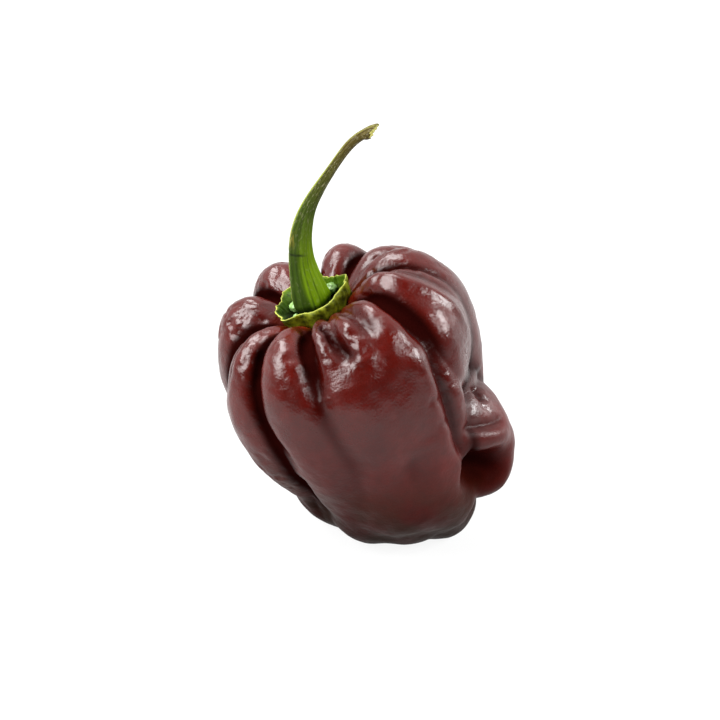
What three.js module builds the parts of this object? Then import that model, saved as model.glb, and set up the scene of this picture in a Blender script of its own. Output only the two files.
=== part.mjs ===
// A picked habanero pepper pod with its calyx and stem, resting on its lower lobes.
// Millimetres, +Z up. The fruit stands on z = 0 with the middle of its box over the origin.
import * as THREE from 'three';
import { mergeVertices } from 'three/addons/utils/BufferGeometryUtils.js';

// Driving dimensions
const podWidth = 50; // scales the pod across its own axis
const podLength = 49; // scales the pod along its own axis
const podLean = 24; // degrees that the pod's axis leans towards -X
const footFlat = 0.6; // how much of the lowest lobe is pressed flat by resting
const calyxWidth = 13.6; // across the rim of the cup
const calyxHeight = 2.3; // from the cup's floor to its rim
const calyxWall = 0.7; // thickness of the cup's wall at the rim
const calyxFloor = 1.2; // thickness of the cup's floor
const rimWave = 0.3; // how far the rim rises and falls
const stemLength = 35.5; // along the stem's own curve
const stemFootWidth = 6.2; // where it leaves the calyx
const stemNeckWidth = 4.4; // above the flare of the foot
const stemTipWidth = 2; // just below the cut end
const stemShift = 0.6; // the stem grows off centre in the cup, towards -X
const seatGap = 0.3; // clearance between calyx and stem
const foldGap = 0.006; // clearance over the pod's folds as a share of podWidth: they grow together

// Mesh fineness
const podMeridians = 104;
const podParallels = 44;
const calyxMeridians = 48;
const stemSides = 20;
const stemSteps = 34;

// Colours and finish
const skinColour = '#5a2424';
const skinRoughness = 0.25;
const calyxColour = '#76861f';
const stemColour = '#4f6a1e';
const greenRoughness = 0.6;

// The pod's outline without lobes: [polar angle from the stem, reach as a share of the half size]
const outline = [
  [0, 0.69], [12, 0.7], [16, 0.73], [20, 0.81], [30, 0.98], [42, 1.04], [60, 1.01], [75, 0.945],
  [90, 0.9], [105, 0.88], [120, 0.9], [135, 0.96], [150, 1.02], [165, 1.04], [180, 0.97],
];

// The lobes. Azimuth 0 is +X and 90 is +Y. Each list is [polar angle, value]: the azimuth of the
// lobe's crest, its half width in degrees, and its reach as a share of the outline.
const lobes = [
  { // narrow left front lobe
    crest: [[30, 211], [60, 213], [90, 211], [120, 203], [150, 192]],
    half: [[30, 22], [60, 30], [120, 45]],
    reach: [[30, 1], [60, 0.99], [90, 0.985], [120, 0.93], [150, 0.95]],
  },
  { // left edge of the broad front lobe
    crest: [[30, 244], [60, 248], [90, 251], [120, 248], [155, 228]],
    half: [[25, 22], [60, 32], [90, 44], [120, 50]],
    reach: [[30, 1], [90, 1], [120, 0.98], [150, 0.99]],
  },
  { // short pleat under the calyx
    crest: [[30, 275], [60, 272]],
    half: [[25, 12], [60, 20]],
    reach: [[25, 0.99], [45, 0.965], [70, 0.92], [90, 0.85]],
  },
  { // middle of the broad front lobe
    crest: [[60, 280], [90, 280], [120, 268], [155, 240]],
    half: [[60, 75], [90, 62], [120, 50]],
    reach: [[40, 0.9], [60, 0.985], [90, 1.01], [120, 1], [150, 0.95]],
  },
  { // second pleat under the calyx
    crest: [[30, 293], [60, 291]],
    half: [[25, 16], [60, 26]],
    reach: [[25, 0.97], [45, 0.985], [70, 0.98], [90, 0.9]],
  },
  { // right edge of the broad front lobe, down to the front foot
    crest: [[30, 311], [60, 306], [90, 301], [120, 303]],
    half: [[25, 14], [60, 28], [90, 42]],
    reach: [[25, 0.98], [45, 1], [70, 1.01], [100, 1.03], [120, 1.07], [140, 1.1], [180, 1.08]],
  },
  { // upper right lobe
    crest: [[30, 341], [60, 345], [90, 342]],
    half: [[25, 24], [60, 42], [90, 50]],
    reach: [[30, 1.02], [60, 1.03], [80, 0.97], [100, 0.83], [150, 0.8]],
  },
  { // lower right bulge
    crest: [[90, 345], [120, 338]],
    half: [[80, 40], [120, 42]],
    reach: [[70, 0.7], [92, 0.88], [112, 1.08], [128, 1.19], [142, 1.17], [160, 0.88]],
  },
  { // right back lobe, near ridge
    crest: [[30, 12]],
    half: [[25, 24], [60, 40]],
    reach: [[16, 0.98], [30, 1.02], [60, 1.04], [90, 1], [120, 0.95]],
  },
  { // right back lobe, far ridge
    crest: [[30, 36]],
    half: [[25, 32], [60, 50]],
    reach: [[16, 0.98], [30, 1.02], [60, 1.04], [90, 1], [120, 0.95]],
  },
  { // back lobe
    crest: [[30, 76], [60, 78]],
    half: [[25, 22], [60, 36]],
    reach: [[16, 0.98], [30, 1.04], [60, 1], [90, 1], [120, 1.02], [150, 1.03]],
  },
  { // left back lobe
    crest: [[30, 118]],
    half: [[25, 24], [60, 38]],
    reach: [[16, 0.98], [30, 1.08], [60, 1.04], [90, 0.98], [120, 1], [150, 1.03]],
  },
  { // left lobe
    crest: [[30, 160], [60, 166]],
    half: [[25, 32], [60, 40]],
    reach: [[16, 0.98], [30, 1.07], [60, 0.99], [90, 0.93], [120, 0.92], [150, 0.95]],
  },
];

// Round feet that the pod stands on: balls that swell out of the lower lobes. The direction and
// distance of each ball's centre from the pod's middle, and its radius, both as reach shares.
const feet = [
  { azimuth: 177, polar: 144, distance: 0.65, radius: 0.36 }, // left
  { azimuth: 232, polar: 155, distance: 0.72, radius: 0.32 }, // middle
  { azimuth: 315, polar: 164, distance: 0.95, radius: 0.25 }, // front
  { azimuth: 93, polar: 154.5, distance: 0.735, radius: 0.36 }, // back
];
const footSoftness = 24; // higher makes the crease round a foot sharper

// Local swellings and hollows: azimuth, polar angle, their half sizes, and height as a reach share
const swellings = [
  { azimuth: 318, polar: 119, across: 10, along: 7, height: -0.104 }, // hollow beside the bulge
  { azimuth: 330, polar: 112, across: 14, along: 5, height: 0.036 }, // lip over the hollow
  { azimuth: 352, polar: 100, across: 14, along: 10, height: -0.02 }, // waist over the bulge
];
const grooveSharpness = 75; // higher makes the creases between lobes sharper
const topFade = 16; // degrees over which the lobes die out under the calyx
const baseFade = 14; // degrees over which they die out at the blossom end
const fadeLevel = 0.97; // reach at the two ends as a share of the outline

// The stem's heading in degrees from upright, + towards +X, along a share of its length
const stemHeading = [
  [0, -24], [0.06, -14], [0.16, -11], [0.26, -4], [0.35, 5], [0.45, 17], [0.55, 28], [0.64, 32],
  [0.78, 31], [0.88, 36], [0.95, 48], [1, 60],
];
// The width along the stem, as a share of the way from one named width to the next
const flareEnd = 0.26; // share of the length where the flare of the foot has ended
const taperEnd = 0.72; // share of the length where the tip width is reached
const stemRibs = 5;
const ribDepth = 0.05; // as a share of the stem's half width

// A smooth curve through [x, value] stops, flat beyond its ends
function along(stops, x) {
  const last = stops.length - 1;
  if (x <= stops[0][0]) return stops[0][1];
  if (x >= stops[last][0]) return stops[last][1];
  const slope = (i) => (stops[i + 1][1] - stops[i][1]) / (stops[i + 1][0] - stops[i][0]);
  const tangent = (i) => {
    if (i === 0) return slope(0);
    if (i === last) return slope(last - 1);
    if (slope(i - 1) * slope(i) <= 0) return 0;
    const before = stops[i][0] - stops[i - 1][0];
    const after = stops[i + 1][0] - stops[i][0];
    return (slope(i - 1) * after + slope(i) * before) / (before + after);
  };
  const k = stops.findIndex((stop) => x < stop[0]) - 1;
  const step = stops[k + 1][0] - stops[k][0];
  const t = (x - stops[k][0]) / step;
  const start = (2 * t - 3) * t * t + 1;
  const leaving = ((t - 2) * t + 1) * t;
  const arriving = (t - 1) * t * t;
  return start * stops[k][1] + (1 - start) * stops[k + 1][1]
    + step * (leaving * tangent(k) + arriving * tangent(k + 1));
}

const radians = THREE.MathUtils.degToRad;
const turnBetween = (a, b) => THREE.MathUtils.euclideanModulo(a - b + 180, 360) - 180;

// A lobe is a circle in cross-section that reaches from the pod's axis out to its crest
function lobeReach(lobe, azimuth, polar) {
  const half = radians(along(lobe.half, polar));
  const off = Math.abs(radians(turnBetween(azimuth, along(lobe.crest, polar))));
  const widest = 1 + Math.sin(half);
  if (off < half) {
    const chord = Math.sqrt(Math.max(Math.sin(half) ** 2 - Math.sin(off) ** 2, 0));
    return along(lobe.reach, polar) * (Math.cos(off) + chord) / widest;
  }
  const beyond = Math.max(0, 1 - (off - half) * 1.5);
  return along(lobe.reach, polar) * Math.cos(half) * beyond / widest;
}

// How far a ray from the pod's middle goes before it leaves a foot's ball, or 0 if it misses
function footReach(foot, azimuth, polar) {
  const apart = Math.cos(radians(polar)) * Math.cos(radians(foot.polar))
    + Math.sin(radians(polar)) * Math.sin(radians(foot.polar))
    * Math.cos(radians(azimuth - foot.azimuth));
  const nearest = foot.distance * apart;
  const inside = foot.radius ** 2 - foot.distance ** 2 + nearest ** 2;
  return apart > 0 && inside > 0 ? nearest + Math.sqrt(inside) : 0;
}

// How far the skin is from the pod's middle, as a share of its half size
function skinReach(azimuth, polar) {
  const base = along(outline, polar);
  const joined = lobes.reduce((sum, lobe) => {
    const reach = base * lobeReach(lobe, azimuth, polar);
    return sum + Math.exp(grooveSharpness * (reach - 1));
  }, 0);
  let lobed = 1 + Math.log(joined) / grooveSharpness;
  for (const swelling of swellings) {
    const across = turnBetween(azimuth, swelling.azimuth) / swelling.across;
    const down = (polar - swelling.polar) / swelling.along;
    lobed += swelling.height * Math.exp(-across * across - down * down);
  }
  const top = THREE.MathUtils.smoothstep(polar, 0, topFade);
  const bottom = THREE.MathUtils.smoothstep(180 - polar, 0, baseFade);
  const skin = THREE.MathUtils.lerp(fadeLevel * base, lobed, top * bottom);
  const stood = feet.reduce((sum, foot) => {
    const reach = footReach(foot, azimuth, polar);
    return sum + Math.exp(footSoftness * (reach - skin));
  }, 1);
  return skin + Math.log(stood) / footSoftness;
}

// Height of the skin above the pod's middle, at a radius from its axis near the stem
function skinHeight(azimuth, radius) {
  let low = 0;
  let high = 45;
  for (let i = 0; i < 24; i += 1) {
    const middle = (low + high) / 2;
    const reached = skinReach(azimuth, middle) * Math.sin(radians(middle)) * podWidth / 2;
    if (reached < radius) low = middle;
    else high = middle;
  }
  return skinReach(azimuth, low) * Math.cos(radians(low)) * podLength / 2;
}

const azimuthOf = (point) => THREE.MathUtils.radToDeg(Math.atan2(point.y, point.x));
const lean = new THREE.Matrix4().makeRotationY(-radians(podLean));

// Moves every vertex of a geometry, then leaves it as one closed shell of shared vertices
function reshape(geometry, move) {
  const place = geometry.attributes.position;
  const point = new THREE.Vector3();
  for (let i = 0; i < place.count; i += 1) {
    point.fromBufferAttribute(place, i);
    move(point, i);
    place.setXYZ(i, point.x, point.y, point.z);
  }
  geometry.deleteAttribute('normal');
  geometry.deleteAttribute('uv');
  const closed = mergeVertices(geometry, 1e-4);
  closed.computeVertexNormals();
  closed.computeBoundingBox();
  return closed;
}

function podGeometry() {
  const ball = new THREE.SphereGeometry(1, podMeridians, podParallels).rotateX(Math.PI / 2);
  const pod = reshape(ball, (point) => {
    const polar = THREE.MathUtils.radToDeg(Math.acos(THREE.MathUtils.clamp(point.z, -1, 1)));
    const reach = skinReach(azimuthOf(point), polar);
    point.multiply(new THREE.Vector3(podWidth / 2, podWidth / 2, podLength / 2));
    point.multiplyScalar(reach);
  });
  pod.applyMatrix4(lean);
  pod.computeBoundingBox();
  const ground = pod.boundingBox.min.z + footFlat;
  return reshape(pod, (point) => {
    point.z = Math.max(point.z, ground);
  });
}

// The cup's rim is not quite round, and it rises and falls
const rimRoundness = (azimuth) => 1 + 0.03 * Math.sin(3 * azimuth + 0.6) + 0.02 * Math.sin(7 * azimuth);
const rimRise = (azimuth) => rimWave * (Math.sin(4 * azimuth + 1.1) + 0.5 * Math.sin(9 * azimuth));

const skinGap = foldGap * podWidth;
const calyxSeat = fadeLevel * outline[0][1] * podLength / 2 + skinGap;
const cupFloor = calyxSeat + calyxFloor;
const cupRim = cupFloor + calyxHeight;

function calyxGeometry() {
  const rim = calyxWidth / 2;
  const inner = rim - calyxWall;
  const under = [0, 0.22, 0.42, 0.6, 0.74].map((share) => [rim * share, calyxSeat]);
  const wall = [
    [rim * 0.84, cupFloor], [rim * 0.93, (cupFloor + cupRim) / 2], [rim, cupRim - calyxWall / 2],
    [rim - calyxWall / 2, cupRim], [inner, cupRim - calyxWall / 2],
    [inner * 0.92, (cupFloor + cupRim) / 2], [inner * 0.84, cupFloor + 0.4],
  ];
  const floor = [0.7, 0.35, 0].map((share) => [inner * share, cupFloor]);
  const stations = [...under, ...wall, ...floor];
  const profile = stations.map(([radius, height]) => new THREE.Vector2(radius, height));
  const cup = new THREE.LatheGeometry(profile, calyxMeridians).rotateX(Math.PI / 2);
  const calyx = reshape(cup, (point, i) => {
    const station = i % profile.length;
    const turn = Math.atan2(point.y, point.x);
    const radius = profile[station].x;
    const raised = THREE.MathUtils.smoothstep(profile[station].y, cupFloor, cupRim);
    const round = THREE.MathUtils.lerp(1, rimRoundness(turn), raised);
    point.setX(Math.cos(turn) * radius * round);
    point.setY(Math.sin(turn) * radius * round);
    point.z = profile[station].y + rimRise(turn) * raised;
    const resting = skinHeight(THREE.MathUtils.radToDeg(turn), radius * round) + skinGap;
    point.z = station < under.length ? resting : Math.max(point.z, resting + calyxWall / 2);
  });
  return calyx.applyMatrix4(lean);
}

// Half width of the stem at a share of its length
function stemRadius(share) {
  const flare = THREE.MathUtils.smoothstep(share, 0, flareEnd);
  const taper = THREE.MathUtils.smoothstep(share, flareEnd / 2, taperEnd);
  const foot = THREE.MathUtils.lerp(stemFootWidth, stemNeckWidth, flare);
  return THREE.MathUtils.lerp(foot, stemTipWidth, taper) / 2;
}

// The points along the middle of the stem, each a short straight step on from the last
function stemMiddle() {
  const start = new THREE.Vector3(-stemShift, 0, cupFloor + seatGap).applyMatrix4(lean);
  const points = [start];
  for (let i = 0; i < stemSteps; i += 1) {
    const heading = radians(along(stemHeading, (i + 0.5) / stemSteps));
    const step = new THREE.Vector3(Math.sin(heading), 0, Math.cos(heading));
    points.push(points[i].clone().addScaledVector(step, stemLength / stemSteps));
  }
  return points;
}

function stemGeometry() {
  const middle = stemMiddle();
  const rod = new THREE.CylinderGeometry(1, 1, 1, stemSides, stemSteps).rotateX(Math.PI / 2);
  return reshape(rod, (point) => {
    const share = point.z + 0.5;
    const heading = radians(along(stemHeading, share));
    const turn = Math.atan2(point.y, point.x);
    const rib = 1 + ribDepth * Math.cos(stemRibs * turn);
    const radius = Math.hypot(point.x, point.y) * stemRadius(share) * rib;
    const across = new THREE.Vector3(Math.cos(heading), 0, -Math.sin(heading));
    point.set(0, Math.sin(turn) * radius, 0).addScaledVector(across, Math.cos(turn) * radius);
    point.add(middle[Math.round(share * stemSteps)]);
  });
}

function piece(name, geometry, color, roughness) {
  const mesh = new THREE.Mesh(geometry, new THREE.MeshStandardMaterial({ color, roughness }));
  mesh.name = name;
  return mesh;
}

const fruit = new THREE.Group();
fruit.add(piece('pod', podGeometry(), skinColour, skinRoughness));
fruit.add(piece('calyx', calyxGeometry(), calyxColour, greenRoughness));
fruit.add(piece('stem', stemGeometry(), stemColour, greenRoughness));

// Stand the fruit on z = 0, with the middle of its box over the origin
const box = new THREE.Box3().setFromObject(fruit);
const centre = box.getCenter(new THREE.Vector3());
fruit.position.set(-centre.x, -centre.y, -box.min.z);
fruit.updateMatrixWorld(true);

export default fruit;
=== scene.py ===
import math

import bmesh
import bpy
import numpy as np
from mathutils import Matrix, Vector, noise


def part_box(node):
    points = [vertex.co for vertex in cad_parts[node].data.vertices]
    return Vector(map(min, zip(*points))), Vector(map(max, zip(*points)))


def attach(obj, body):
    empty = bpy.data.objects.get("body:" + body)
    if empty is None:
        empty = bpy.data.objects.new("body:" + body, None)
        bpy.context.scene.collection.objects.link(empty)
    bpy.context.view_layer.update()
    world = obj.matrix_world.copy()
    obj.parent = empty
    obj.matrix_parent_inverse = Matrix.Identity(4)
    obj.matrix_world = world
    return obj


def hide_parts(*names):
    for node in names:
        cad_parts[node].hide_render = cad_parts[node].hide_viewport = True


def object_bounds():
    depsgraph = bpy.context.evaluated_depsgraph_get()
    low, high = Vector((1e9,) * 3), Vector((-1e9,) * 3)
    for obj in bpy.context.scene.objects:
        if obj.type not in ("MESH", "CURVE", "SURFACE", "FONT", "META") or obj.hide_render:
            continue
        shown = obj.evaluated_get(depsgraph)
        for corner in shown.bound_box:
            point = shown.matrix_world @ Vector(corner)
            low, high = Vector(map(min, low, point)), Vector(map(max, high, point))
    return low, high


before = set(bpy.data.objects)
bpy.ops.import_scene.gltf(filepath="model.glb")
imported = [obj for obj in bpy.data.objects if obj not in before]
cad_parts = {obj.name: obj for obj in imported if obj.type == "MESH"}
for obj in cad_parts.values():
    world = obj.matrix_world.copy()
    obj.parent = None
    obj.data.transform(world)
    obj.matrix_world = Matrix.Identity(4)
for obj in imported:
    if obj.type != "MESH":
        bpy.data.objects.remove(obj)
cadLow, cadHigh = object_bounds()
cadSize = cadHigh - cadLow
mm = 0.001

# studio: camera, floor, lights and backdrop

studio = dict(
    elevation=27,         # degrees that the camera looks down
    distance=0.335,       # camera to aim point
    lens=100,
    aim=(-0.018, -0.051, 0.4377),  # share of the object's box, from the middle of its base
    floorSize=4.0,
    floorColor=(0.08, 0.08, 0.08, 1),
    floorGlow=0.91,       # a lit table, so shadows stay faint
    topLight=dict(place=(-0.3, 0.3, 0.95), size=0.6, power=12.0),
    leftLight=dict(place=(-0.67, -0.24, 0.72), size=0.72, power=17.0),
    rightLight=dict(place=(0.8, -0.08, 0.58), size=0.34, power=7.0),
    frontLight=dict(place=(0.56, -0.5, 0.68), size=0.22, power=2.4),
    sideLight=dict(place=(0.85, 0.42, 0.24), size=0.3, power=0.8),
    backGlow=1.3,         # white room behind and beside the object
    frontGlow=0.01,       # dark side, behind the camera
    lowGlow=0.25,         # near the horizon on the dark side
    sideTurn=(-0.55, 0.35),  # towards +Y, where the room turns from dark to white
    lowTurn=(-0.1, 0.6),  # upwards, where the glow near the horizon ends
)


def makeCamera(s):
    aim = Vector((s["aim"][0] * cadSize.x, s["aim"][1] * cadSize.y, s["aim"][2] * cadSize.z))
    tilt = math.radians(s["elevation"])
    back = Vector((0, -math.cos(tilt), math.sin(tilt)))
    data = bpy.data.cameras.new("camera")
    data.lens = s["lens"]
    data.sensor_width = 36
    data.clip_start = 0.01
    camera = bpy.data.objects.new("camera", data)
    camera.location = aim + back * s["distance"]
    camera.rotation_euler = (-back).to_track_quat("-Z", "Y").to_euler()
    bpy.context.collection.objects.link(camera)
    bpy.context.scene.camera = camera


def makeLight(name, place, size, power):
    data = bpy.data.lights.new(name, "AREA")
    data.shape = "DISK"
    data.size = size
    data.energy = power
    light = bpy.data.objects.new(name, data)
    light.location = place
    light.rotation_euler = (-Vector(place)).to_track_quat("-Z", "Y").to_euler()
    bpy.context.collection.objects.link(light)


def makeRamp(nodes, turn, low, high):
    ramp = nodes.new("ShaderNodeMapRange")
    ramp.interpolation_type = "SMOOTHSTEP"
    ramp.inputs["From Min"].default_value = turn[0]
    ramp.inputs["From Max"].default_value = turn[1]
    ramp.inputs["To Min"].default_value = low
    ramp.inputs["To Max"].default_value = high
    return ramp


def makeRoom(s):
    world = bpy.data.worlds.new("room")
    bpy.context.scene.world = world
    world.use_nodes = True
    nodes, links = world.node_tree.nodes, world.node_tree.links
    nodes.clear()
    out = nodes.new("ShaderNodeOutputWorld")
    seen = nodes.new("ShaderNodeLightPath")
    white = nodes.new("ShaderNodeBackground")
    white.inputs["Color"].default_value = (1, 1, 1, 1)
    glow = nodes.new("ShaderNodeBackground")
    place = nodes.new("ShaderNodeTexCoord")
    split = nodes.new("ShaderNodeSeparateXYZ")
    shade = makeRamp(nodes, s["sideTurn"], s["frontGlow"], s["backGlow"])
    low = makeRamp(nodes, s["lowTurn"], s["lowGlow"], 0)
    brighter = nodes.new("ShaderNodeMath")
    brighter.operation = "MAXIMUM"
    both = nodes.new("ShaderNodeMixShader")
    links.new(place.outputs["Generated"], split.inputs[0])
    links.new(split.outputs["Y"], shade.inputs["Value"])
    links.new(split.outputs["Z"], low.inputs["Value"])
    links.new(shade.outputs["Result"], brighter.inputs[0])
    links.new(low.outputs["Result"], brighter.inputs[1])
    links.new(brighter.outputs[0], glow.inputs["Strength"])
    links.new(seen.outputs["Is Camera Ray"], both.inputs[0])
    links.new(glow.outputs[0], both.inputs[1])
    links.new(white.outputs[0], both.inputs[2])
    links.new(both.outputs[0], out.inputs["Surface"])


def makeFloor(s):
    bm = bmesh.new()
    bmesh.ops.create_grid(bm, x_segments=1, y_segments=1, size=s["floorSize"] / 2)
    mesh = bpy.data.meshes.new("floor")
    bm.to_mesh(mesh)
    bm.free()
    floor = bpy.data.objects.new("floor", mesh)
    bpy.context.collection.objects.link(floor)
    paint = bpy.data.materials.new("floor")
    paint.use_nodes = True
    shader = paint.node_tree.nodes["Principled BSDF"]
    shader.inputs["Base Color"].default_value = s["floorColor"]
    shader.inputs["Roughness"].default_value = 0.9
    shader.inputs["Emission Color"].default_value = (1, 1, 1, 1)
    shader.inputs["Emission Strength"].default_value = s["floorGlow"]
    mesh.materials.append(paint)


makeCamera(studio)
for name in ("topLight", "leftLight", "rightLight", "frontLight", "sideLight"):
    makeLight(name, **studio[name])
makeRoom(studio)
makeFloor(studio)
bpy.context.scene.view_settings.view_transform = "Standard"
print("studio ready")

# pod: thirteen lobes round a leaning axis. Azimuth 0 is +X and 90 is +Y, and the polar angle runs
# from the stem at 0 to the blossom end at 180. Each list is (polar angle, value).

pod = dict(
    halfWidth=25 * mm,
    halfLength=24.5 * mm,
    lean=24,              # degrees towards -X
    footFlat=0.6 * mm,    # how far the lowest lobe is pressed flat
    meridians=400,
    parallels=236,
    lobeFall=1.5,         # how fast a lobe falls away beyond its half width
    grooveSharpness=75,
    footSoftness=24,
    topFade=16,           # degrees over which the lobes end at the stem
    baseFade=14,          # and at the blossom end
    fadeLevel=0.97,
    bareTurn=(16, 24),    # polar angles where the wrinkles start, below the calyx
    bigLumps=dict(size=9 * mm, height=0.3 * mm, seed=21),
    smallLumps=dict(size=2.6 * mm, height=0.07 * mm, seed=22),
    # places on the skin: (azimuth, polar angle), half sizes
    hollow=dict(at=(320, 131), spread=(12, 7)),       # pocket low on the right, darkened with painted shade
    wetPatch=dict(at=(333, 103), spread=(9, 6)),      # shines above the pocket
    glossyBulge=dict(at=(335, 92), spread=(18, 26)),  # no satin here
    openFold=dict(at=(320, 88), spread=(9, 18)),      # its painted shade is lighter than in the other folds
    openness=0.8,         # share of its shade that the open fold loses
    hollowShade=0.9,
    foldSides=(-22, -13, -6, 6, 13, 22),  # degrees to either side where a fold is compared
    foldDepth=0.05,       # how far below its sides a fold lies where its painted shade is darkest
    foldTurn=(118, 140),  # polar angles where the folds lose their shade
    rednessTurn=(45, 150),
    blushTurn=(17.5, 21),
    satinTurn=(62, 100),
    stainSize=11 * mm,
    wander=dict(redness=26, blush=3, satin=12),       # degrees by which these three edges wander
    gloss=(0.02, 0.5),                # low down and high up
    wetGloss=0.6,
    glossTurn=(5 * mm, 34 * mm),      # heights above the floor
    # painted contact shadow at the very bottom, and painted shade that darkens the skin towards the floor
    contactShadowTurn=(0.3 * mm, 2.6 * mm),
    lowShadeTurn=(0, 23 * mm),
)
outline = [
    (0, 0.69), (12, 0.7), (16, 0.73), (20, 0.81), (30, 0.98), (42, 1.04), (60, 1.01), (75, 0.945),
    (90, 0.9), (105, 0.88), (120, 0.9), (135, 0.96), (150, 1.02), (165, 1.04), (180, 0.97),
]
lobes = dict(
    leftFront=dict(
        crest=[(30, 211), (60, 213), (90, 211), (120, 203), (150, 192)],
        half=[(30, 22), (60, 30), (120, 45)],
        reach=[(30, 1), (60, 0.99), (90, 0.985), (120, 0.93), (150, 0.95)]),
    frontLeftEdge=dict(
        crest=[(30, 244), (60, 248), (90, 251), (120, 248), (155, 228)],
        half=[(25, 22), (60, 32), (90, 44), (120, 50)],
        reach=[(30, 1), (90, 1), (120, 0.98), (150, 0.99)]),
    firstPleat=dict(
        crest=[(30, 275), (60, 272)],
        half=[(25, 12), (60, 20)],
        reach=[(25, 0.99), (45, 0.965), (70, 0.92), (90, 0.85)]),
    front=dict(
        crest=[(60, 280), (90, 280), (120, 268), (155, 240)],
        half=[(60, 75), (90, 62), (120, 50)],
        reach=[(40, 0.9), (60, 0.985), (90, 1.01), (120, 1), (150, 0.95)]),
    secondPleat=dict(
        crest=[(30, 293), (60, 291)],
        half=[(25, 16), (60, 26)],
        reach=[(25, 0.97), (45, 0.985), (70, 0.98), (90, 0.9)]),
    frontRightEdge=dict(
        crest=[(30, 311), (60, 306), (90, 301), (120, 303)],
        half=[(25, 14), (60, 28), (90, 42)],
        reach=[(25, 0.98), (45, 1), (70, 1.01), (100, 1.03), (120, 1.07), (140, 1.1), (180, 1.08)]),
    upperRight=dict(
        crest=[(30, 341), (60, 345), (90, 342)],
        half=[(25, 24), (60, 42), (90, 50)],
        reach=[(30, 1.02), (60, 1.03), (80, 0.97), (100, 0.83), (150, 0.8)]),
    lowerRight=dict(
        crest=[(90, 345), (120, 338)],
        half=[(80, 40), (120, 42)],
        reach=[(70, 0.7), (92, 0.88), (112, 1.08), (128, 1.19), (142, 1.17), (160, 0.88)]),
    backRightNear=dict(
        crest=[(30, 12)],
        half=[(25, 24), (60, 40)],
        reach=[(16, 0.98), (30, 1.02), (60, 1.04), (90, 1), (120, 0.95)]),
    backRightFar=dict(
        crest=[(30, 34)],
        half=[(25, 32), (60, 50)],
        reach=[(16, 0.97), (30, 0.99), (60, 1.02), (90, 1), (120, 0.95)]),
    back=dict(
        crest=[(30, 71), (60, 74)],
        half=[(25, 22), (60, 36)],
        reach=[(16, 0.98), (30, 1.04), (60, 1), (90, 1), (120, 1.02), (150, 1.03)]),
    leftBack=dict(
        crest=[(30, 118)],
        half=[(25, 24), (60, 38)],
        reach=[(16, 0.98), (30, 1.11), (60, 1.05), (90, 0.98), (120, 1), (150, 1.03)]),
    left=dict(
        crest=[(30, 160), (60, 166)],
        half=[(25, 32), (60, 40)],
        reach=[(16, 0.98), (30, 1.07), (60, 0.99), (90, 0.93), (120, 0.92), (150, 0.95)]),
)
# round feet: azimuth, polar angle, distance of the ball's middle and its radius
feet = [
    (177, 144, 0.65, 0.36),
    (232, 155, 0.72, 0.32),
    (315, 164, 0.95, 0.25),
    (93, 154.5, 0.735, 0.36),
    (273, 157, 0.83, 0.27),
    (285, 139, 0.61, 0.44),
]
# swellings and hollows between the lobes
swellings = [
    dict(at=(327, 70), spread=(9, 20), height=0.045),
    dict(at=(324, 84), spread=(8, 11), height=0.04),
    dict(at=(321, 96), spread=(7, 12), height=0.05),
    dict(at=(322, 128), spread=(12, 6), height=-0.13),
    dict(at=(328, 115), spread=(14, 5), height=0.045),
    dict(at=(352, 100), spread=(14, 10), height=-0.02),
]


def along(stops, x):
    # smooth curve through the stops, flat beyond its ends
    xs = np.array([stop[0] for stop in stops], float)
    ys = np.array([stop[1] for stop in stops], float)
    x = np.asarray(x, float)
    if len(xs) == 1:
        return np.full(x.shape, ys[0])
    steps = np.diff(xs)
    slopes = np.diff(ys) / steps
    turns = np.zeros(len(xs))
    turns[0], turns[-1] = slopes[0], slopes[-1]
    for i in range(1, len(xs) - 1):
        if slopes[i - 1] * slopes[i] > 0:
            turns[i] = (slopes[i - 1] * steps[i] + slopes[i] * steps[i - 1]) / (steps[i] + steps[i - 1])
    x = np.clip(x, xs[0], xs[-1])
    i = np.clip(np.searchsorted(xs, x, side="right") - 1, 0, len(xs) - 2)
    t = (x - xs[i]) / steps[i]
    start = (2 * t - 3) * t * t + 1
    leaving = ((t - 2) * t + 1) * t
    arriving = (t - 1) * t * t
    curve = start * ys[i] + (1 - start) * ys[i + 1]
    return curve + steps[i] * (leaving * turns[i] + arriving * turns[i + 1])


def smoothStep(x, low, high):
    t = np.clip((x - low) / (high - low), 0, 1)
    return t * t * (3 - 2 * t)


def spot(azimuth, polar, at, spread, power=2):
    # 1 at a place on the skin, fading over these half sizes in degrees
    away = ((azimuth - at[0] + 180) % 360 - 180) / spread[0]
    return np.exp(-away ** power - ((polar - at[1]) / spread[1]) ** power)


def lobeReach(lobe, azimuth, polar):
    # how far out the lobe is: a round arch as wide as its half width on either side of its crest
    half = np.radians(along(lobe["half"], polar))
    off = np.radians(np.abs((azimuth - along(lobe["crest"], polar) + 180) % 360 - 180))
    chord = np.sqrt(np.maximum(np.sin(half) ** 2 - np.sin(off) ** 2, 0))
    beyond = np.cos(half) * np.maximum(0, 1 - (off - half) * pod["lobeFall"])
    share = np.where(off < half, np.cos(off) + chord, beyond)
    return along(lobe["reach"], polar) * share / (1 + np.sin(half))


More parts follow.
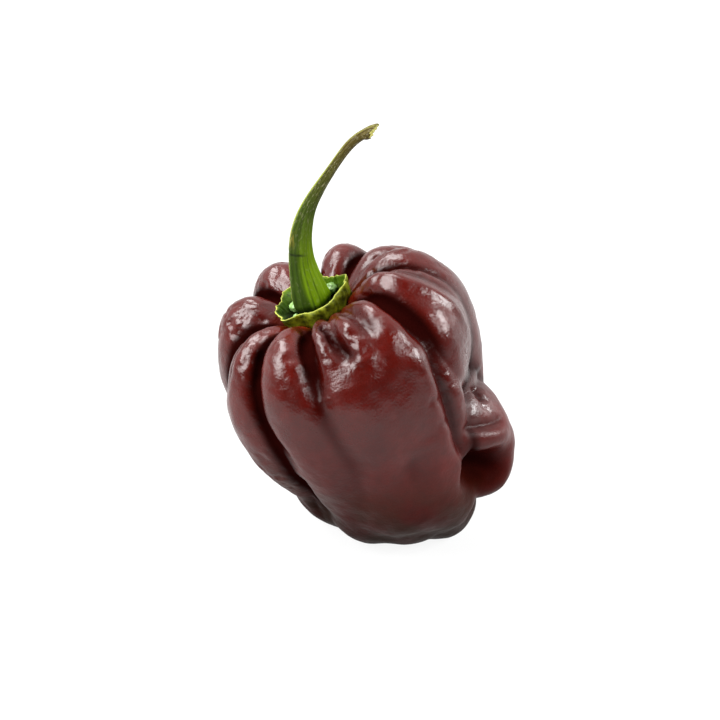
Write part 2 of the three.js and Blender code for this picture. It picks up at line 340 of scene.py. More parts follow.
def skinReach(azimuth, polar):
    # how far out the skin is: the lobes joined softly, then the feet joined to them
    base = along(outline, polar)
    sharp = pod["grooveSharpness"]
    joined = sum(np.exp(sharp * (base * lobeReach(lobe, azimuth, polar) - 1)) for lobe in lobes.values())
    lobed = 1 + np.log(joined) / sharp
    for swelling in swellings:
        lobed = lobed + swelling["height"] * spot(azimuth, polar, swelling["at"], swelling["spread"])
    fade = smoothStep(polar, 0, pod["topFade"]) * smoothStep(180 - polar, 0, pod["baseFade"])
    skin = pod["fadeLevel"] * base * (1 - fade) + lobed * fade
    stood = 1
    for middle, down, distance, radius in feet:
        apart = np.cos(np.radians(polar)) * math.cos(math.radians(down))
        apart = apart + (np.sin(np.radians(polar)) * math.sin(math.radians(down))
                         * np.cos(np.radians(azimuth - middle)))
        inside = radius ** 2 - distance ** 2 + (distance * apart) ** 2
        reach = distance * apart + np.sqrt(np.maximum(inside, 0))
        reach = np.where((apart > 0) & (inside > 0), reach, 0)
        stood = stood + np.exp(pod["footSoftness"] * (reach - skin))
    return skin + np.log(stood) / pod["footSoftness"]


def skinPoint(azimuth, polar):
    azimuth, polar = np.asarray(azimuth, float), np.asarray(polar, float)
    reach = skinReach(azimuth, polar)
    turn, down = np.radians(azimuth), np.radians(polar)
    return np.stack([
        pod["halfWidth"] * reach * np.sin(down) * np.cos(turn),
        pod["halfWidth"] * reach * np.sin(down) * np.sin(turn),
        pod["halfLength"] * reach * np.cos(down)], -1)


leanTurn = np.array(Matrix.Rotation(-math.radians(pod["lean"]), 3, "Y"))
podLow, podHigh = (np.array(corner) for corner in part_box("pod"))


def onPod(azimuth, polar):
    return skinPoint(azimuth, polar) @ leanTurn.T + podShift


def findShift():
    # the pod's place: in the middle of the CAD pod's box, with its lowest lobe pressed into the floor
    azimuth, polar = np.meshgrid(np.arange(0, 360, 1.5), np.arange(0, 181, 1.5))
    points = (skinPoint(azimuth, polar) @ leanTurn.T).reshape(-1, 3)
    middle = (points.max(0) + points.min(0)) / 2
    wanted = (podLow + podHigh) / 2
    ground = points[:, 2].min() + pod["footFlat"]
    return np.array([wanted[0] - middle[0], wanted[1] - middle[1], podLow[2] - ground])


podShift = findShift()


def writeValues(mesh, name, values):
    kept = mesh.attributes.new(name, "FLOAT", "POINT")
    kept.data.foreach_set("value", np.asarray(values, float))


def readPoints(mesh):
    flat = np.empty(len(mesh.vertices) * 3)
    mesh.vertices.foreach_get("co", flat)
    return flat.reshape(-1, 3)


def writePoints(mesh, points):
    mesh.vertices.foreach_set("co", points.ravel())
    mesh.update()


def addPiece(name, bm, replaced):
    mesh = bpy.data.meshes.new(name)
    for face in bm.faces:
        face.smooth = True
    bm.to_mesh(mesh)
    bm.free()
    piece = bpy.data.objects.new(name, mesh)
    bpy.context.collection.objects.link(piece)
    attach(piece, "root")
    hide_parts(*replaced)
    return piece


# creases and ridges drawn on the skin: path of (azimuth, polar), half width and height in mm,
# and how much painted shade a crease gets
strokes = [
    dict(path=[(248, 19), (262, 29), (266, 44), (264, 54), (262, 68)], width=1.5, height=-0.9, dark=0.9),
    dict(path=[(272, 24), (280, 33), (281, 40), (284, 48), (288, 54)], width=1.4, height=-1.0, dark=1),
    dict(path=[(297, 24), (299, 33), (300, 42), (302, 50)], width=1.8, height=-0.7, dark=0.6),
    dict(path=[(196, 24), (206, 34), (208, 46), (206, 60)], width=1.3, height=-0.9, dark=0.8),
    dict(path=[(232, 26), (229, 38), (227, 52), (229, 66), (236, 80), (238, 96)], width=1.1, height=-1.2,
         dark=0.9),
    dict(path=[(238, 92), (226, 110), (212, 126), (204, 138)], width=1.2, height=-0.7, dark=0.6),
    dict(path=[(324, 20), (322, 32), (320, 42), (319, 54), (318, 66)], width=1.5, height=-1.4, dark=0.95),
    dict(path=[(320, 50), (318, 66), (315, 78), (313, 90), (312, 102), (311, 114), (309, 130)], width=1.0,
         height=-1.4, dark=0.6),
    dict(path=[(310, 56), (308, 72), (306, 88), (305, 102), (305, 114)], width=1.6, height=0.6),
    dict(path=[(304, 80), (308, 83), (313, 84)], width=0.8, height=-0.35, dark=0.2),
    dict(path=[(303, 91), (308, 94), (313, 94)], width=0.8, height=-0.35, dark=0.2),
    dict(path=[(352, 20), (340, 30), (337, 42), (341, 54), (343, 66), (348, 78)], width=1.0, height=0.4),
    dict(path=[(358, 20), (349, 32), (347, 44), (350, 56), (352, 68)], width=1.4, height=-0.6, dark=0.5),
    dict(path=[(366, 98), (352, 97), (338, 93), (326, 91)], width=1.4, height=0.5),
    dict(path=[(362, 103), (350, 101), (336, 97), (322, 95)], width=1.1, height=-0.7, dark=0.5),
    dict(path=[(342, 98), (339, 102), (337, 106)], width=0.8, height=-0.8, dark=0.7),
    dict(path=[(314, 104), (325, 109), (334, 112), (344, 115)], width=0.9, height=-0.7, dark=0.6),
    dict(path=[(312, 109), (322, 114), (332, 118), (342, 122)], width=2.2, height=0.6),
    dict(path=[(306, 119), (316, 126), (326, 130), (336, 133)], width=3, height=-1.8, dark=1),
    dict(path=[(290, 96), (288, 108), (286, 120), (284, 132)], width=3, height=-0.35, dark=0),
    dict(path=[(299, 94), (298, 106), (296, 120)], width=2.4, height=0.25),
    dict(path=[(24, 24), (22, 36), (23, 50), (25, 66)], width=1.3, height=-0.7, dark=0.7),
    dict(path=[(53, 24), (54, 38), (54, 54), (55, 72)], width=1.3, height=-0.8, dark=0.7),
    dict(path=[(93, 24), (95, 38), (97, 56), (98, 76)], width=1.3, height=-0.8, dark=0.7),
    dict(path=[(138, 22), (140, 36), (142, 54), (142, 72)], width=1.3, height=-0.9, dark=0.7),
]
# wrinkled patches: azimuth, polar, half sizes in degrees, wrinkle size and height in mm, sharpness
wrinkles = [
    dict(at=(249, 36), spread=(13, 14), size=2.2, height=0.3, ridged=0.1),
    dict(at=(277, 36), spread=(10, 12), size=1.8, height=0.45, ridged=0.1),
    dict(at=(289, 46), spread=(10, 12), size=2.0, height=0.45, ridged=0.1),
    dict(at=(309, 34), spread=(10, 12), size=2.4, height=0.25, ridged=0),
    dict(at=(219, 34), spread=(14, 16), size=1.9, height=0.3, ridged=0.1),
    dict(at=(168, 32), spread=(24, 16), size=1.8, height=0.55, ridged=0.4),
    dict(at=(120, 30), spread=(22, 16), size=1.8, height=0.45, ridged=0.4),
    dict(at=(76, 30), spread=(20, 16), size=1.9, height=0.45, ridged=0.3),
    dict(at=(8, 34), spread=(26, 18), size=2.1, height=0.55, ridged=0.5),
    dict(at=(338, 26), spread=(18, 8), size=1.6, height=0.5, ridged=0.2),
    dict(at=(333, 103), spread=(11, 6), size=1.5, height=0.4, ridged=0.2),
    dict(at=(338, 80), spread=(9, 9), size=0.8, height=0.14, ridged=0),
    dict(at=(318, 88), spread=(5, 16), size=1.5, height=0.35, ridged=0.3),
    dict(at=(218, 104), spread=(14, 26), size=2.6, height=0.45, ridged=0.5),
    dict(at=(262, 58), spread=(10, 14), size=1.2, height=0.14, ridged=0),
]


def drawStroke(stroke, points):
    # how strongly the stroke is felt at each point, from 0 to 1
    stops = np.array(stroke["path"], float)
    t = np.linspace(0, 1, 90)
    places = np.linspace(0, 1, len(stops))
    line = onPod(np.interp(t, places, stops[:, 0]), np.interp(t, places, stops[:, 1]))
    width = stroke["width"] * mm
    middle = line.mean(0)
    reach = np.linalg.norm(line - middle, axis=1).max() + 3 * width
    near = np.nonzero(np.linalg.norm(points - middle, axis=1) < reach)[0]
    apart = np.linalg.norm(points[near, None] - line[None], axis=2)
    nearest = apart.argmin(1)
    ends = smoothStep(t[nearest], 0, 0.22) * smoothStep(1 - t[nearest], 0, 0.3)
    power = 1.6 if stroke["height"] < 0 else 2   # creases are sharper than ridges
    strength = np.zeros(len(points))
    strength[near] = ends * np.exp(-(apart.min(1) / width) ** power)
    return strength


def roughField(points, size, octaves, seed):
    # smooth lumps of about this size, from -1 to 1
    apart = Vector((seed * 7.3, seed * 3.1, seed * 5.7))
    return np.array([noise.fractal(Vector(point) / size + apart, 1.0, 2.0, octaves) for point in points])


def makePod():
    bm = bmesh.new()
    bmesh.ops.create_uvsphere(bm, u_segments=pod["meridians"], v_segments=pod["parallels"], radius=1)
    piece = addPiece("podSkin", bm, ["pod"])
    mesh = piece.data
    ball = readPoints(mesh)
    azimuth = np.degrees(np.arctan2(ball[:, 1], ball[:, 0])) % 360
    polar = np.degrees(np.arccos(np.clip(ball[:, 2], -1, 1)))
    points = onPod(azimuth, polar)
    writePoints(mesh, points)

    lift = np.zeros(len(points))
    grooveShade = np.zeros(len(points))
    for stroke in strokes:
        strength = drawStroke(stroke, points)
        lift += stroke["height"] * mm * strength
        # the creases' painted shade
        grooveShade = np.maximum(grooveShade, strength * stroke.get("dark", 0))
    bare = smoothStep(polar, *pod["bareTurn"])
    for i, patch in enumerate(wrinkles):
        mask = spot(azimuth, polar, patch["at"], patch["spread"]) * bare
        chosen = np.nonzero(mask > 0.02)[0]
        octaves = 3 if patch["ridged"] > 0.25 else 2
        field = roughField(points[chosen], patch["size"] * mm, octaves, i + 1)
        ridges = 0.5 - 1.4 * np.abs(field)   # sharp crests where the field is nought
        folds = (1 - patch["ridged"]) * field + patch["ridged"] * ridges
        lift[chosen] += patch["height"] * mm * mask[chosen] * folds
    for lumps in (pod["bigLumps"], pod["smallLumps"]):
        lift += roughField(points, lumps["size"], 2, lumps["seed"]) * lumps["height"] * bare
    normals = np.empty(len(points) * 3)
    mesh.vertices.foreach_get("normal", normals)
    points = points + normals.reshape(-1, 3) * lift[:, None]
    points[:, 2] = np.maximum(points[:, 2], podLow[2])
    writePoints(mesh, points)
    paintPod(mesh, azimuth, polar, points, grooveShade)
    return piece


def paintPod(mesh, azimuth, polar, points, grooveShade):
    # painted shade in the folds between lobes, which lie lower than the skin on either side of them
    reach = skinReach(azimuth, polar)
    beside = sum(skinReach(azimuth + turn, polar) for turn in pod["foldSides"])
    beside = beside / len(pod["foldSides"])
    between = smoothStep(beside - reach, 0, pod["foldDepth"]) * (1 - smoothStep(polar, *pod["foldTurn"]))
    between *= 1 - pod["openness"] * spot(azimuth, polar, power=4, **pod["openFold"])
    hollow = spot(azimuth, polar, **pod["hollow"])
    grooveShade = np.maximum(grooveShade, np.maximum(between, pod["hollowShade"] * hollow))

    # how red, how deep in a fold, how shiny and how near the floor the skin is, for its paint: the folds
    # get painted shade, and so does the skin near the floor, with a painted contact shadow at the very
    # bottom
    height = points[:, 2]
    stain = roughField(points, pod["stainSize"], 3, 31)
    wander = pod["wander"]
    writeValues(mesh, "redness", 1 - smoothStep(polar + wander["redness"] * stain, *pod["rednessTurn"]))
    writeValues(mesh, "blush", 1 - smoothStep(polar + wander["blush"] * stain, *pod["blushTurn"]))
    writeValues(mesh, "foldShade", grooveShade)
    dull, shiny = pod["gloss"]
    gloss = dull + (shiny - dull) * smoothStep(height, *pod["glossTurn"])
    gloss += pod["wetGloss"] * spot(azimuth, polar, **pod["wetPatch"])
    writeValues(mesh, "gloss", gloss * (1 - np.minimum(1, 1.3 * hollow)))
    writeValues(mesh, "contactShadow", 1 - smoothStep(height, *pod["contactShadowTurn"]))
    writeValues(mesh, "lowShade", 1 - smoothStep(height, *pod["lowShadeTurn"]))
    satin = smoothStep(polar + wander["satin"] * stain, *pod["satinTurn"])
    writeValues(mesh, "satin", satin * (1 - spot(azimuth, polar, **pod["glossyBulge"])))


podSkin = makePod()
print("pod shaped")


# paint: procedural materials, fed by the values kept on each piece's points


class Paint:
    # a new material and short ways to add nodes to it

    def __init__(self, name):
        self.made = bpy.data.materials.new(name)
        self.made.use_nodes = True
        self.nodes = self.made.node_tree.nodes
        self.links = self.made.node_tree.links
        self.shader = self.nodes["Principled BSDF"]
        self.place = self.nodes.new("ShaderNodeTexCoord").outputs["Object"]

    def feed(self, socket, value):
        if isinstance(value, bpy.types.NodeSocket):
            self.links.new(value, socket)
        else:
            socket.default_value = value

    def value(self, name):
        node = self.nodes.new("ShaderNodeAttribute")
        node.attribute_name = name
        return node.outputs["Fac"]

    def vector(self, name):
        node = self.nodes.new("ShaderNodeAttribute")
        node.attribute_name = name
        return node.outputs["Vector"]

    def noise(self, size, detail=3, place=None, stretch=None):
        # lumps of about this size in metres, from 0 to 1
        node = self.nodes.new("ShaderNodeTexNoise")
        node.inputs["Scale"].default_value = 1 / size
        node.inputs["Detail"].default_value = detail
        where = place or self.place
        if stretch:
            stretched = self.nodes.new("ShaderNodeVectorMath")
            stretched.operation = "MULTIPLY"
            self.links.new(where, stretched.inputs[0])
            stretched.inputs[1].default_value = stretch
            where = stretched.outputs[0]
        self.links.new(where, node.inputs["Vector"])
        return node.outputs["Fac"]

    def spread(self, value, low, high, toLow=0.0, toHigh=1.0):
        node = self.nodes.new("ShaderNodeMapRange")
        self.feed(node.inputs["Value"], value)
        node.inputs["From Min"].default_value = low
        node.inputs["From Max"].default_value = high
        node.inputs["To Min"].default_value = toLow
        node.inputs["To Max"].default_value = toHigh
        return node.outputs["Result"]

    def math(self, operation, first, second):
        node = self.nodes.new("ShaderNodeMath")
        node.operation = operation
        self.feed(node.inputs[0], first)
        self.feed(node.inputs[1], second)
        return node.outputs[0]

    def mix(self, share, first, second):
        node = self.nodes.new("ShaderNodeMix")
        node.data_type = "RGBA"
        self.feed(node.inputs[0], share)
        self.feed(node.inputs[6], first)
        self.feed(node.inputs[7], second)
        return node.outputs[2]

    def bump(self, height, strength, distance, below=None):
        node = self.nodes.new("ShaderNodeBump")
        node.inputs["Strength"].default_value = strength
        node.inputs["Distance"].default_value = distance
        self.feed(node.inputs["Height"], height)
        if below:
            self.links.new(below, node.inputs["Normal"])
        return node.outputs["Normal"]

    def finish(self, color, roughness, normal):
        self.feed(self.shader.inputs["Base Color"], color)
        self.feed(self.shader.inputs["Roughness"], roughness)
        self.links.new(normal, self.shader.inputs["Normal"])
        return self.made


skinColors = dict(
    darkBrown=(0.045, 0.0035, 0.002, 1),
    brown=(0.125, 0.008, 0.006, 1),
    darkRed=(0.03, 0.001, 0.0004, 1),
    red=(0.1, 0.0035, 0.001, 1),
    stain=(0.03, 0.004, 0.002, 1),
    umber=(0.035, 0.016, 0.006, 1),      # olive brown patches near the floor
    # painted shade low down, and a painted contact shadow under the pod
    lowShade=(0.008, 0.002, 0.001, 1),
    contactShadow=(0.002, 0.0008, 0.0006, 1),
    blush=(0.24, 0.026, 0.005, 1),       # orange ring round the calyx
    # painted shade in the folds
    foldShade=(0.008, 0.001, 0.0008, 1),
)


def skinMaterial(c):
    p = Paint("ripeSkin")
    patches = p.noise(7 * mm, 4)
    brown = p.mix(patches, c["darkBrown"], c["brown"])
    red = p.mix(patches, c["darkRed"], c["red"])
    color = p.mix(p.value("redness"), brown, red)
    stain = p.spread(p.noise(1.4 * mm, 4), 0.35, 0.7, 0, 0.3)
    color = p.mix(stain, color, c["stain"])
    umber = p.math("MULTIPLY", p.value("lowShade"), p.spread(p.noise(9 * mm, 2), 0.42, 0.58, 0.05, 0.95))
    color = p.mix(umber, color, c["umber"])
    # painted shade, darker towards the floor, and a painted contact shadow at the very bottom
    color = p.mix(p.math("MULTIPLY", p.value("lowShade"), 0.85), color, c["lowShade"])
    color = p.mix(p.value("contactShadow"), color, c["contactShadow"])
    color = p.mix(p.value("blush"), color, c["blush"])
    # painted shade in the folds and the pocket, which also dims their shine
    foldShade = p.value("foldShade")
    color = p.mix(p.math("MULTIPLY", foldShade, 0.94), color, c["foldShade"])
    roughness = p.spread(p.noise(2.4 * mm, 3), 0.3, 0.7, 0.18, 0.32)
    roughness = p.math("ADD", roughness, p.math("MULTIPLY", p.value("satin"), 0.2))
    grain = p.bump(p.noise(0.4 * mm, 3), 0.5, 0.1 * mm)
    normal = p.bump(p.noise(1.3 * mm, 3), 0.3, 0.16 * mm, grain)
    shine = p.math("MULTIPLY", p.value("gloss"), p.math("SUBTRACT", 1, foldShade))
    p.feed(p.shader.inputs["Specular IOR Level"], shine)
    return p.finish(color, roughness, normal)


podSkin.data.materials.append(skinMaterial(skinColors))
print("skin painted")

# calyx: a ruffled cup that hugs the pod round the foot of the stem. It stands up thinly behind
# and to the left, and rolls outwards at the front.

calyx = dict(
    sides=260,
    stations=80,
    floor=17.9 * mm,      # height of the cup's floor along the pod's own axis
    rim=20.5 * mm,
    middleRadius=6.5 * mm,
    bottomWall=0.25 * mm,
    ruffle=dict(size=2.2 * mm, out=0.6 * mm, up=0.35 * mm),   # waves along the rim
    teeth=dict(size=0.9 * mm, out=0.22 * mm, up=0.16 * mm),   # and the small teeth on them
    lumps=dict(size=1.5 * mm, height=0.16 * mm),
    edge=[(0, 6.4), (14, 6.4), (32, 5.7), (54, 5.7), (90, 6.2), (127, 6.5), (153, 6.3), (175, 6.2),
          (200, 6.9), (226, 7.0), (245, 6.1), (270, 6.6), (296, 6.9), (321, 6.2), (341, 6.2), (360, 6.4)],
    rise=[(0, 0.1), (60, 0.3), (130, 0.5), (175, 0.5), (203, 0), (222, -0.5), (245, -0.1),
          (275, -0.2), (310, 0.1), (335, 0.3), (360, 0.1)],
    roll=[(0, 0.5), (60, 0.1), (200, 0.1), (240, 0.6), (285, 1), (330, 0.8), (360, 0.5)],
    standing=[(0, 0.03), (0.25, 0.86), (0.32, 0.93), (0.42, 0.96), (0.5, 1), (0.54, 0.98), (0.58, 0.95),
              (0.7, 0.86), (0.8, 0.72), (1, 0.03)],
    rolled=[(0, 0.03), (0.25, 0.88), (0.31, 0.94), (0.38, 0.99), (0.46, 1.01), (0.53, 0.96), (0.58, 0.92),
            (0.7, 0.84), (0.8, 0.7), (1, 0.03)],
    climb=[(0.25, 0), (0.31, 0.14), (0.42, 0.64), (0.5, 0.96), (0.54, 1), (0.58, 0.94), (0.7, 0.42),
           (0.8, 0.1), (0.9, 0)],
    # for its paint: where the lip, the inside and the painted shade at the bottom are, as shares of the
    # section
    lip=dict(at=0.535, spread=0.021),
    insideTurn=(0.54, 0.6),
    cupShadeTurn=(0.62, 0.76),
    # which way the painted light on the cup's inside faces; the other side gets painted shade
    litSideFacing=40,
    # swellings in the cup: azimuth and radius, and size in mm
    beadLumps=dict(size=0.9 * mm, height=0.2),
    beadSquash=0.85,
    beads=[dict(at=(158, 4.0), size=1.15), dict(at=(48, 3.9), size=1.15), dict(at=(194, 4.1), size=0.5),
           dict(at=(96, 4.2), size=0.7)],
)


def skinHeight(azimuth, radius):
    # how high the skin is along the pod's axis, at this radius near the stem: halves the range of
    # polar angles until the skin's own radius fits
    low = np.zeros(len(radius))
    high = np.full(len(radius), 50.0)
    for halving in range(22):
        middle = (low + high) / 2
        short = skinReach(azimuth, middle) * np.sin(np.radians(middle)) * pod["halfWidth"] < radius
        low, high = np.where(short, middle, low), np.where(short, high, middle)
    return skinReach(azimuth, low) * np.cos(np.radians(low)) * pod["halfLength"]


def makeTube(name, sides, rings, replaced):
    # a closed tube to be shaped: also gives each point's angle, its share of the way along and
    # whether it is in the middle of an end
    bm = bmesh.new()
    bmesh.ops.create_cone(bm, cap_ends=True, cap_tris=True, segments=sides, radius1=1, radius2=1, depth=1)
    long = [edge for edge in bm.edges if abs(edge.verts[0].co.z - edge.verts[1].co.z) > 0.5]
    bmesh.ops.subdivide_edges(bm, edges=long, cuts=rings - 2, use_grid_fill=True)
    piece = addPiece(name, bm, replaced)
    points = readPoints(piece.data)
    turn = np.arctan2(points[:, 1], points[:, 0])
    return piece, turn, points[:, 2] + 0.5, np.hypot(points[:, 0], points[:, 1]) < 0.5


def makeCalyx(c):
    piece, turn, share, middle = makeTube("calyxCup", c["sides"], c["stations"], ["calyx"])
    azimuth = np.degrees(turn) % 360
    ring = np.column_stack([np.cos(turn), np.sin(turn), np.zeros(len(turn))]) * c["middleRadius"]
    ruffle = roughField(ring, c["ruffle"]["size"], 3, 41)
    teeth = roughField(ring, c["teeth"]["size"], 2, 42)
    outwards = c["ruffle"]["out"] * ruffle + c["teeth"]["out"] * teeth
    upwards = c["ruffle"]["up"] * ruffle + c["teeth"]["up"] * teeth
    roll = along(c["roll"], azimuth)
    climb = along(c["climb"], share)
    wide = along(c["standing"], share) * (1 - roll) + along(c["rolled"], share) * roll
    radius = along(c["edge"], azimuth) * mm * wide + outwards * climb
    radius[middle] = 0
    resting = skinHeight(azimuth, radius)
    low = np.where(share < 0.5, resting, np.maximum(c["floor"], resting + c["bottomWall"]))
    top = c["rim"] + along(c["rise"], azimuth) * mm + upwards
    points = np.column_stack([radius * np.cos(turn), radius * np.sin(turn), low + (top - low) * climb])
    lumps = roughField(points, c["lumps"]["size"], 3, 43) * c["lumps"]["height"]
    lumps *= smoothStep(climb, 0.1, 0.5)
    points[:, 0] += lumps * np.cos(turn)
    points[:, 1] += lumps * np.sin(turn)
    writePoints(piece.data, points @ leanTurn.T + podShift)
    writeValues(piece.data, "lip", np.exp(-((share - c["lip"]["at"]) / c["lip"]["spread"]) ** 2))
    writeValues(piece.data, "inside", smoothStep(share, *c["insideTurn"]))
    # painted shade at the bottom of the cup, and painted light on one side of its inside
    writeValues(piece.data, "cupShade", smoothStep(share, *c["cupShadeTurn"]))
    writeValues(piece.data, "litSide", 0.5 + 0.5 * np.cos(turn - math.radians(c["litSideFacing"])))
    return piece


def makeBeads(c):
    # pale swellings between the stem and the cup's wall
    made = []
    for i, bead in enumerate(c["beads"]):
        bm = bmesh.new()
        bmesh.ops.create_icosphere(bm, subdivisions=5, radius=bead["size"] * mm)
        piece = addPiece(f"bead{i + 1}", bm, ["calyx"])
        points = readPoints(piece.data)
        lumps = roughField(points, c["beadLumps"]["size"], 2, 50 + i)
        points *= 1 + c["beadLumps"]["height"] * lumps[:, None]
        points[:, 2] *= c["beadSquash"]
        turn = math.radians(bead["at"][0])
        out = bead["at"][1] * mm
        up = c["floor"] + bead["size"] * 0.95 * mm   # rests on the cup's floor
        points += np.array([out * math.cos(turn), out * math.sin(turn), up])
        writePoints(piece.data, points @ leanTurn.T + podShift)
        made.append(piece)
    return made


calyxCup = makeCalyx(calyx)
beads = makeBeads(calyx)
print("calyx shaped")

calyxColors = dict(
    darkOuter=(0.028, 0.036, 0.001, 1),
    outer=(0.17, 0.19, 0.006, 1),
    # the cup's inside: painted shade and painted light on its two sides, and painted shade at its bottom
    shadedInner=(0.02, 0.05, 0.004, 1),
    litInner=(0.13, 0.24, 0.01, 1),
    cupShade=(0.004, 0.008, 0.001, 1),
    freckle=(0.03, 0.04, 0.006, 1),
    lip=(0.4, 0.43, 0.07, 1),
    darkBead=(0.1, 0.22, 0.04, 1),
    bead=(0.35, 0.55, 0.2, 1),
)


def calyxMaterial(c):
    p = Paint("calyxGreen")
    blotch = p.noise(1.1 * mm, 3)
    outer = p.mix(p.spread(blotch, 0.35, 0.65), c["darkOuter"], c["outer"])
    # painted light on one side of the inside, painted shade on the other and at the bottom
    inner = p.mix(p.value("litSide"), c["shadedInner"], c["litInner"])
    inner = p.mix(p.value("cupShade"), inner, c["cupShade"])
    color = p.mix(p.value("inside"), outer, inner)
    freckles = p.spread(p.noise(0.4 * mm, 1), 0.62, 0.7, 0, 0.7)
    color = p.mix(freckles, color, c["freckle"])
    color = p.mix(p.value("lip"), color, c["lip"])
    normal = p.bump(p.noise(0.5 * mm, 3), 0.4, 0.12 * mm)
    p.shader.inputs["Specular IOR Level"].default_value = 0.15
    return p.finish(color, p.spread(blotch, 0.3, 0.7, 0.35, 0.5), normal)


def beadMaterial(c):
    p = Paint("paleBead")
    color = p.mix(p.noise(0.8 * mm, 2), c["darkBead"], c["bead"])
    roughness = p.spread(p.noise(0.6 * mm, 2), 0.3, 0.7, 0.2, 0.35)
    normal = p.bump(p.noise(0.5 * mm, 2), 0.3, 0.08 * mm)
    return p.finish(color, roughness, normal)


calyxCup.data.materials.append(calyxMaterial(calyxColors))
beadPaint = beadMaterial(calyxColors)
for bead in beads:
    bead.data.materials.append(beadPaint)
print("calyx painted")

# stem: a ribbed stalk that flares into the cup and hooks over at its ragged cut end

stem = dict(
    length=36.7 * mm,
    footWidth=6.6 * mm,
    neckWidth=4.4 * mm,
    tipWidth=1.5 * mm,
    flareEnd=0.26,
    taperEnd=0.76,
    shift=0.6 * mm,       # off centre in the cup
    start=18.2 * mm,      # height along the pod's own axis
    # degrees from upright towards +X, along the length
    heading=[(0, -24), (0.06, -16), (0.16, -13), (0.26, -5), (0.35, 5), (0.45, 17), (0.55, 28),
             (0.64, 32), (0.74, 33), (0.84, 40), (0.91, 56), (0.96, 74), (1, 84)],
    sides=120,
    rings=520,
    cutFrom=0.93,         # share of the rings where the cut face starts
    footTuck=0.8,         # narrower by this factor at the very foot
    tipFlare=1.4,         # and wider by this one at the tip
    # ribs, fibres and lumps, whose depths are shares of the radius
    ribs=5,
    ribDepth=0.055,
    straightRadius=2.2 * mm,   # the stem laid straight, for its fibres and lumps
    straightLength=26.4 * mm,
    fibres=dict(size=0.34 * mm, stretch=0.12, depth=0.035),
    lumps=dict(size=2 * mm, stretch=0.5, depth=0.05),
    # marks: how far up and how long as shares of the length, and which way they face
    scar=dict(up=0.285, spread=0.006, side=225, depth=0.035),
    blot=dict(up=0.36, spread=0.03, side=195),
    creases=(226, 247, 281, 305),
    paleEdge=186,
    # which way the painted light on the lower stem faces; the other side gets painted shade
    litSideFacing=335,
    slant=dict(depth=2.0, side=320),   # how much shorter the cut is on one side, in mm
    rag=dict(size=0.9 * mm, depth=0.35),
    # the cut face: how wide, and how far along in mm
    cutWidth=[(0, 1), (0.12, 0.95), (0.25, 0.84), (0.45, 0.7), (0.7, 0.4), (1, 0.05)],
    cutDepth=[(0, 0), (0.12, 0.04), (0.25, -0.15), (0.45, -0.7), (0.7, -1), (1, -1.1)],
)


def stemMark(mark, up, turn, low, high):
    # a short mark across one side of the stem
    band = np.exp(-((up - mark["up"]) / mark["spread"]) ** 2)
    return band * smoothStep(np.cos(turn - math.radians(mark["side"])), low, high)


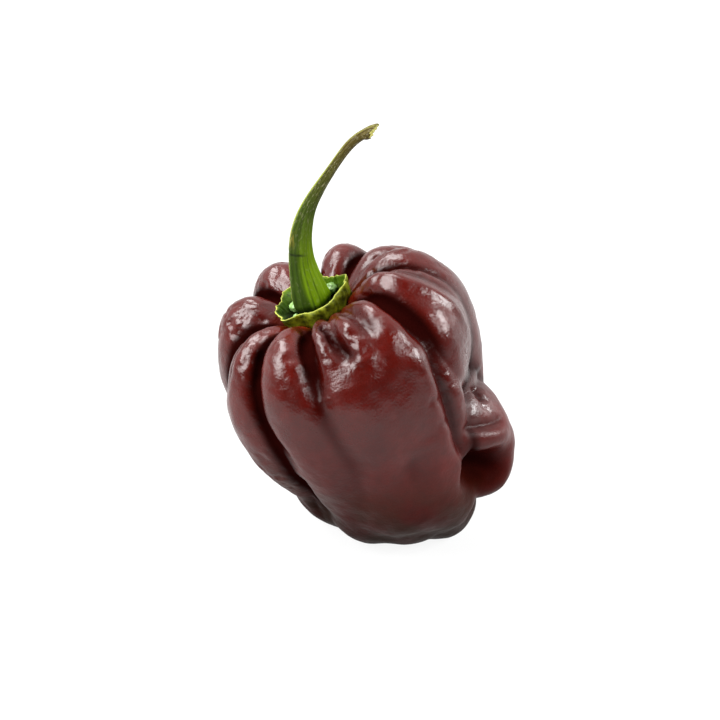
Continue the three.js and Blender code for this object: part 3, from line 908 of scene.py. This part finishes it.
def makeStem(s):
    piece, turn, share, middle = makeTube("stemStalk", s["sides"], s["rings"], ["stem"])
    cut = np.clip((share - s["cutFrom"]) / (1 - s["cutFrom"]), 0, 1)
    up = np.minimum(share / s["cutFrom"], 1)
    flare = smoothStep(up, 0, s["flareEnd"])
    taper = smoothStep(up, s["flareEnd"] / 2, s["taperEnd"])
    radius = (s["footWidth"] * (1 - flare) + s["neckWidth"] * flare) * (1 - taper) + s["tipWidth"] * taper
    radius *= 0.5 * (1 + (s["tipFlare"] - 1) * smoothStep(up, 0.92, 1))
    radius *= s["footTuck"] + (1 - s["footTuck"]) * smoothStep(up, 0, 0.05)
    straight = np.column_stack([
        np.cos(turn) * s["straightRadius"], np.sin(turn) * s["straightRadius"], up * s["straightLength"]])
    ribs = s["ribDepth"] * (np.cos(s["ribs"] * turn) + 0.5 * np.cos(2 * s["ribs"] * turn))
    fibres = roughField(straight * np.array([1, 1, s["fibres"]["stretch"]]), s["fibres"]["size"], 2, 61)
    lumps = roughField(straight * np.array([1, 1, s["lumps"]["stretch"]]), s["lumps"]["size"], 2, 62)
    lumpDepth = s["lumps"]["depth"] * smoothStep(up, 0.2, 0.4)   # none near the foot
    radius *= 1 + ribs + s["fibres"]["depth"] * fibres + lumpDepth * lumps
    scar = stemMark(s["scar"], up, turn, 0.1, 0.7)
    radius *= 1 - s["scar"]["depth"] * scar
    radius *= along(s["cutWidth"], cut)
    radius[middle] = 0

    # a slanting ragged cut, short on its front underside
    rag = s["rag"]["depth"] * roughField(straight * np.array([1, 1, 0]), s["rag"]["size"], 3, 63)
    slant = -s["slant"]["depth"] * (0.5 + 0.5 * np.cos(turn - math.radians(s["slant"]["side"])))
    shorter = (rag + slant) * smoothStep(up, 0.9, 1) * along([(0, 1), (1, 0.5)], cut)
    length = up * s["length"] + (shorter + along(s["cutDepth"], cut) * (cut > 0)) * mm

    # bend it along its path, which starts in the cup
    steps = np.linspace(0, 1, 600)
    heading = np.radians(along(s["heading"], steps))
    pace = s["length"] / (len(steps) - 1)
    start = np.array([-s["shift"], 0, s["start"]]) @ leanTurn.T + podShift
    pathX = start[0] + np.concatenate([[0], np.cumsum(np.sin(heading))[:-1]]) * pace
    pathZ = start[2] + np.concatenate([[0], np.cumsum(np.cos(heading))[:-1]]) * pace
    at = np.clip(length / s["length"], 0, 1)
    tilt = np.interp(at, steps, heading)
    over = np.cos(turn) * radius
    points = np.column_stack([
        np.interp(at, steps, pathX) + over * np.cos(tilt),
        start[1] + np.sin(turn) * radius,
        np.interp(at, steps, pathZ) - over * np.sin(tilt)])
    past = length - at * s["length"]   # the rag may pass the end of the path
    points[:, 0] += past * np.sin(tilt)
    points[:, 2] += past * np.cos(tilt)
    writePoints(piece.data, points)

    # what the paint needs: the fibres' own coordinates, and where each colour goes
    fibre = piece.data.attributes.new("fibre", "FLOAT_VECTOR", "POINT")
    fibre.data.foreach_set("vector", straight.ravel())
    azimuth = np.degrees(turn) % 360
    # painted light on one side of the stem, painted shade on the other
    facingLight = np.cos(turn - math.radians(s["litSideFacing"]))
    edge = np.exp(-((azimuth - s["paleEdge"]) / 15) ** 2) * (1 - 0.6 * smoothStep(up, 0.6, 0.9))
    creases = sum(np.exp(-((azimuth - crease) / 2.2) ** 2) for crease in s["creases"])
    writeValues(piece.data, "upStem", up)
    writeValues(piece.data, "litSide", smoothStep(facingLight + 0.35 * lumps, 0.1, 0.6))
    writeValues(piece.data, "leftEdge", edge)
    writeValues(piece.data, "crease", creases * (1 - smoothStep(up, 0.3, 0.5)))
    writeValues(piece.data, "pith", smoothStep(cut, 0.1, 0.25))
    writeValues(piece.data, "scar", scar)
    writeValues(piece.data, "blot", stemMark(s["blot"], up, turn, 0.5, 1))
    return piece


stemStalk = makeStem(stem)
print("stem shaped")

stemColors = dict(
    # painted shade and painted light on the two sides of the lower stem
    shadedSideColors=((0.01, 0.025, 0.001, 1), (0.055, 0.1, 0.006, 1)),   # pairs: between the fibres, on them
    litSideColors=((0.06, 0.13, 0.001, 1), (0.18, 0.29, 0.001, 1)),
    shaft=((0.016, 0.028, 0.003, 1), (0.06, 0.09, 0.01, 1)),
    tip=((0.028, 0.02, 0.004, 1), (0.12, 0.092, 0.02, 1)),
    pith=((0.35, 0.33, 0.06, 1), (0.75, 0.72, 0.3, 1)),
    speck=(0.32, 0.29, 0.18, 1),
    edge=(0.33, 0.38, 0.03, 1),
    blot=(0.3, 0.24, 0.04, 1),
    scar=(0.012, 0.018, 0.005, 1),
    # painted shade where the stem stands in the cup
    foot=(0.01, 0.02, 0.002, 1),
    crease=(0.015, 0.03, 0.004, 1),
)


def stemMaterial(c):
    p = Paint("stemGreen")
    fibre = p.vector("fibre")
    up = p.value("upStem")
    streak = p.noise(0.35 * mm, 3, fibre, (1, 1, 0.07))
    mottle = p.noise(0.8 * mm, 3, fibre, (1, 1, 0.5))
    # the lower stem: painted light on one side, painted shade on the other
    foot = p.mix(p.value("litSide"), p.mix(streak, *c["shadedSideColors"]), p.mix(streak, *c["litSideColors"]))
    color = p.mix(p.spread(up, 0.2, 0.5), foot, p.mix(streak, *c["shaft"]))
    color = p.mix(p.spread(up, 0.5, 0.85), color, p.mix(mottle, *c["tip"]))
    specks = p.spread(p.noise(0.3 * mm, 1, fibre, (1, 1, 0.6)), 0.6, 0.68)
    specks = p.math("MULTIPLY", specks, p.spread(up, 0.3, 0.9, 0.1, 0.7))
    color = p.mix(specks, color, c["speck"])
    edge = p.math("MULTIPLY", p.value("leftEdge"), p.spread(mottle, 0.3, 0.6, 0.25, 0.9))
    color = p.mix(edge, color, c["edge"])
    blot = p.math("MULTIPLY", p.value("blot"), p.spread(mottle, 0.45, 0.6))
    color = p.mix(blot, color, c["blot"])
    color = p.mix(p.math("MULTIPLY", p.value("scar"), 0.8), color, c["scar"])
    # painted shade at the very foot of the stem
    color = p.mix(p.spread(up, 0, 0.035, 0.85, 0), color, c["foot"])
    creases = p.math("MULTIPLY", p.value("crease"), p.spread(mottle, 0.35, 0.6, 0.1, 0.8))
    color = p.mix(creases, color, c["crease"])
    color = p.mix(p.value("pith"), color, p.mix(mottle, *c["pith"]))
    normal = p.bump(streak, 0.4, 0.1 * mm, p.bump(mottle, 0.3, 0.12 * mm))
    p.shader.inputs["Specular IOR Level"].default_value = 0.09
    return p.finish(color, p.spread(mottle, 0.3, 0.7, 0.4, 0.6), normal)


stemStalk.data.materials.append(stemMaterial(stemColors))
print("stem painted")
